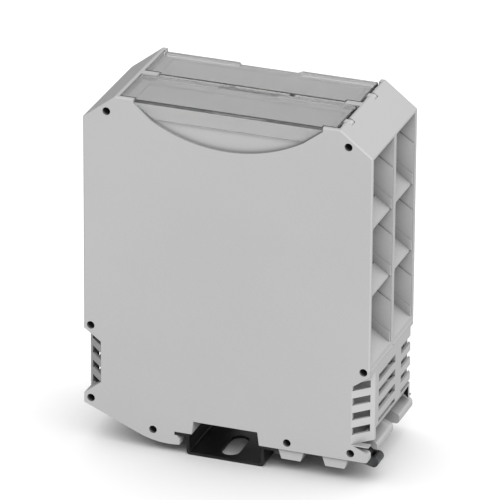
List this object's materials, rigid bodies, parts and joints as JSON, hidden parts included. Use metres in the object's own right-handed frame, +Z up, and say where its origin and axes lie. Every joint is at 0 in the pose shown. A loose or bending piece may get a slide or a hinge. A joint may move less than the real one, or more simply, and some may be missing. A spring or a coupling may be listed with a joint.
{
  "type": "din rail enclosure",
  "caption": "Modular electronics housing clipped on a piece of top hat rail, with hinged clear lids, terminal bays and vents.",
  "frame": {"origin": "middle of the rail piece's underside", "axes": "+Z up from the rail to the lids, +Y along the rail away from the catch module, +X across the rail towards the foot catch"},
  "size_m": [0.1015, 0.045, 0.1238],
  "materials": {
    "housing": "fine satin texture",
    "clear_lid": "clear polycarbonate",
    "face_plate": "satin",
    "label": "plain card",
    "board": "solder mask",
    "catch_steel": "dark passivated",
    "spring_steel": "bright strip",
    "rail_steel": "black passivated"
  },
  "bodies": {
    "housing": {"near_shell": "housing", "middle_shell": "housing", "end_plate": "housing", "near_face_plate": "face_plate", "middle_face_plate": "face_plate", "near_label_strip": "label", "middle_label_strip": "label", "near_board": "board", "middle_board": "board", "catch_spring": "spring_steel", "rail_piece": "rail_steel"},
    "near_lid": {"near_lid": "clear_lid"},
    "middle_lid": {"middle_lid": "clear_lid"},
    "catch": {"foot_catch": "catch_steel"}
  },
  "joints": [
    {"name": "near_lid_hinge", "type": "hinge", "parent": "housing", "child": "near_lid", "pos_m": [0.0385, -0.0135, 0.1223], "axis": [0, 1, 0], "range_deg": [0, 95]},
    {"name": "middle_lid_hinge", "type": "hinge", "parent": "housing", "child": "middle_lid", "pos_m": [0.0385, 0.009, 0.1223], "axis": [0, 1, 0], "range_deg": [0, 95]},
    {"name": "catch_slide", "type": "slide", "parent": "housing", "child": "catch", "axis": [1, 0, 0], "range_m": [0, 0.003], "stiffness_N_per_m": 1200, "springref_m": -0.004, "deforming": ["catch_spring"]}
  ]
}
